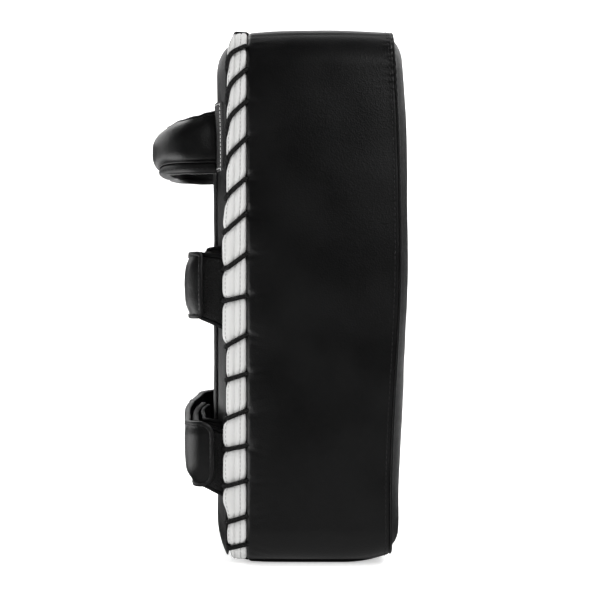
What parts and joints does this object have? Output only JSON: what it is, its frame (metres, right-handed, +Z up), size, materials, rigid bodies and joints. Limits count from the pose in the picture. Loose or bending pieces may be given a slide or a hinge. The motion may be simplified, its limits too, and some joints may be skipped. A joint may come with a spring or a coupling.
{
  "type": "thai pad",
  "caption": "Rectangular padded strike shield with a laced white edge, an arched padded grip handle and hook-and-loop forearm straps on the back.",
  "frame": {"origin": "centre of the flat bottom end of the side wall, on the surface that the pad stands on", "axes": "+Z up along the pad's length, from the lower strap end to the handle end; +X out of the striking face; the handle and straps are on the -X side; the free tabs of the straps are on the -Y side"},
  "size_m": [0.1974, 0.2005, 0.4],
  "materials": {
    "vinyl_black": "smooth black coated leather, satin, with a very fine grain",
    "vinyl_trim": "black binding tape and piping, satin",
    "vinyl_white": "white rolled binding, satin, lightly scuffed",
    "cord_black": "black braided lacing cord, matte",
    "foam_firm": "dense closed-cell foam sheet",
    "foam_soft": "softer block foam",
    "board": "stiff back board, matte",
    "webbing": "woven black webbing",
    "lining": "soft black lining, matte",
    "hook_tape": "black hook tape, rough",
    "loop_tape": "black loop tape, fuzzy"
  },
  "bodies": {
    "pad": {"striking_face_cover": "vinyl_black", "face_piping": "vinyl_trim", "side_gusset": "vinyl_black", "gusset_binding": "vinyl_white", "back_binding": "vinyl_white", "lacing_cord": "cord_black", "back_cover": "vinyl_black", "impact_foam": "foam_firm", "core_foam": "foam_soft", "base_foam": "foam_firm", "rear_foam": "foam_soft", "back_board": "board", "forearm_cushion_cover": "vinyl_black", "forearm_cushion_foam": "foam_soft", "forearm_cushion_piping": "vinyl_trim", "handle_anchor_near": "vinyl_trim", "handle_anchor_far": "vinyl_trim", "upper_strap_root": "vinyl_black", "upper_strap_root_binding": "vinyl_trim", "upper_flap_root": "vinyl_black", "upper_flap_root_loop": "loop_tape", "lower_strap_root": "vinyl_black", "lower_strap_root_binding": "vinyl_trim", "lower_flap_root": "vinyl_black", "lower_flap_root_loop": "loop_tape"},
    "handle": {"handle_cover": "vinyl_black", "handle_foam": "foam_firm", "handle_webbing": "webbing", "handle_lining": "lining", "handle_top_binding": "vinyl_trim", "handle_bottom_binding": "vinyl_trim"},
    "upper_strap": {"upper_strap_band": "vinyl_black", "upper_strap_binding": "vinyl_trim", "upper_strap_hook": "hook_tape"},
    "upper_tab": {"upper_tab_band": "vinyl_black", "upper_tab_binding": "vinyl_trim", "upper_tab_hook": "hook_tape"},
    "upper_flap": {"upper_flap_band": "vinyl_black", "upper_flap_binding": "vinyl_trim", "upper_flap_loop": "loop_tape"},
    "lower_strap": {"lower_strap_band": "vinyl_black", "lower_strap_binding": "vinyl_trim", "lower_strap_hook": "hook_tape"},
    "lower_tab": {"lower_tab_band": "vinyl_black", "lower_tab_binding": "vinyl_trim", "lower_tab_hook": "hook_tape"},
    "lower_flap": {"lower_flap_band": "vinyl_black", "lower_flap_binding": "vinyl_trim", "lower_flap_loop": "loop_tape"}
  },
  "joints": [
    {"name": "handle_rock", "type": "hinge", "parent": "pad", "child": "handle", "pos_m": [-0.0848, 0, 0.319], "axis": [0, 1, 0], "range_deg": [-12, 12], "stiffness_Nm_per_rad": 4},
    {"name": "upper_strap_open", "type": "hinge", "parent": "pad", "child": "upper_strap", "pos_m": [-0.09992, 0.09042, 0.208], "axis": [0, 0, -1], "range_deg": [0, 85]},
    {"name": "upper_tab_peel", "type": "hinge", "parent": "upper_strap", "child": "upper_tab", "pos_m": [-0.09992, -0.09392, 0.208], "axis": [0, 0, -1], "range_deg": [0, 60]},
    {"name": "upper_flap_open", "type": "hinge", "parent": "pad", "child": "upper_flap", "pos_m": [-0.09533, -0.08933, 0.208], "axis": [0, 0, 1], "range_deg": [0, 43]},
    {"name": "lower_strap_open", "type": "hinge", "parent": "pad", "child": "lower_strap", "pos_m": [-0.09992, 0.0902, 0.09631], "axis": [0, 0.0698, -0.9976], "range_deg": [0, 85]},
    {"name": "lower_tab_peel", "type": "hinge", "parent": "lower_strap", "child": "lower_tab", "pos_m": [-0.09992, -0.0937, 0.08345], "axis": [0, 0.0698, -0.9976], "range_deg": [0, 60]},
    {"name": "lower_flap_open", "type": "hinge", "parent": "pad", "child": "lower_flap", "pos_m": [-0.09533, -0.08911, 0.08377], "axis": [0, -0.0698, 0.9976], "range_deg": [0, 43]}
  ],
  "couplings": [
    {"joint": "upper_tab_peel", "follows": "upper_strap_open", "ratio": 0.7},
    {"joint": "upper_flap_open", "follows": "upper_strap_open", "ratio": 0.5},
    {"joint": "lower_tab_peel", "follows": "lower_strap_open", "ratio": 0.7},
    {"joint": "lower_flap_open", "follows": "lower_strap_open", "ratio": 0.5}
  ]
}
